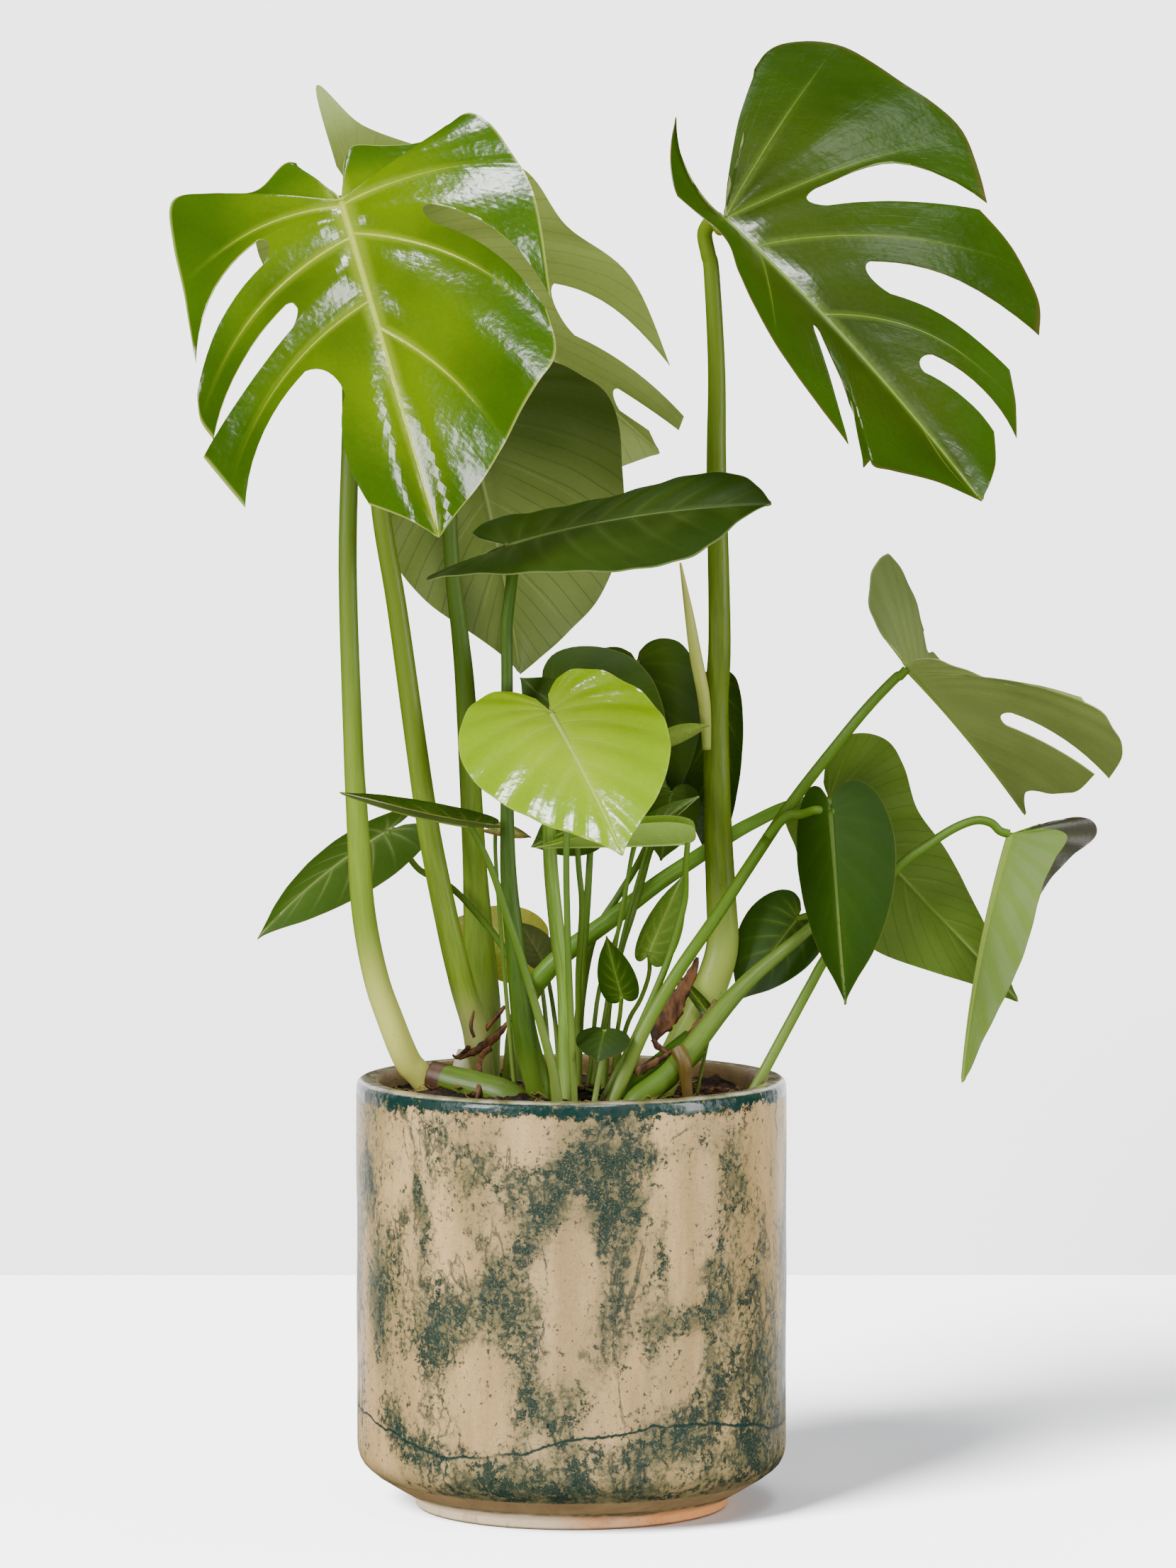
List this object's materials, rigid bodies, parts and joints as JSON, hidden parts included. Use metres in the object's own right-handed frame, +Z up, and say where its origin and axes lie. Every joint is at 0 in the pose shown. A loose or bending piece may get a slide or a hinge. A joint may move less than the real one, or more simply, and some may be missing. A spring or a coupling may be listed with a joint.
{
  "type": "potted monstera plant",
  "caption": "Split-leaf climbing plant with long stalks in a straight round glazed ceramic pot, for standing on a floor or table.",
  "frame": {"origin": "middle of the pot's flat underside, on the surface it stands on", "axes": "+Z up along the pot's axis, +X to the right of the front view, -Y towards the front, where the bright split leaf hangs forward"},
  "size_m": [0.5475, 0.3404, 0.8514],
  "materials": {
    "pot_glaze": "clear glossy glaze over mottled tan and blue-green, unglazed tan foot",
    "soil": "loose dark potting mix with bark and fibre",
    "root_bark": "dull speckled brown-ochre skin",
    "pale_stem": "satin, cream white",
    "stalk": "satin, green with pale bases",
    "young_leaf": "satin, yellow-green with brown specks",
    "bright_leaf": "glossy waxy, yellow-green",
    "yellow_leaf": "satin, yellowing",
    "pale_leaf": "satin, pale underside green with fine side veins",
    "fresh_leaf": "very glossy waxy, fresh green with pale midrib",
    "leaf": "glossy waxy, deep green"
  },
  "bodies": {
    "root": {"aerial_root": "root_bark", "bright_heart_leaf_blade": "bright_leaf", "bright_heart_leaf_stalk": "stalk", "dark_heart_leaf_blade": "leaf", "dark_heart_leaf_stalk": "stalk", "dim_round_leaf": "leaf", "dried_young_leaf": "pale_leaf", "drooping_leaf": "leaf", "folded_leaf_blade": "pale_leaf", "folded_leaf_stalk": "stalk", "front_left_leaf_blade": "fresh_leaf", "front_left_leaf_stalk": "stalk", "front_small_leaf": "leaf", "hanging_leaf_blade": "leaf", "hanging_leaf_stalk": "stalk", "left_stem": "stalk", "level_leaf_blade": "leaf", "level_leaf_stalk": "stalk", "low_right_leaf_blade": "pale_leaf", "low_right_leaf_stalk": "stalk", "narrow_leaf": "leaf", "outer_leaf_blade": "pale_leaf", "outer_leaf_stalk": "stalk", "pale_hanging_leaf": "pale_leaf", "pot": "pot_glaze", "rear_left_leaf_blade": "leaf", "rear_left_leaf_stalk": "stalk", "rear_stem": "pale_stem", "right_leaf_blade": "leaf", "right_leaf_stalk": "stalk", "right_stem": "stalk", "rolled_leaf": "bright_leaf", "screened_leaf": "leaf", "shaded_rear_leaf": "leaf", "shaded_round_leaf": "leaf", "shaded_small_leaf": "leaf", "side_leaf": "leaf", "sliver_leaf": "leaf", "soil": "soil", "spoon_leaf": "leaf", "striped_leaf": "pale_leaf", "under_heart_leaf": "leaf", "withered_leaf": "leaf", "yellow_leaf": "yellow_leaf", "young_spike": "young_leaf", "young_tip_leaf": "pale_leaf"}
  },
  "joints": []
}
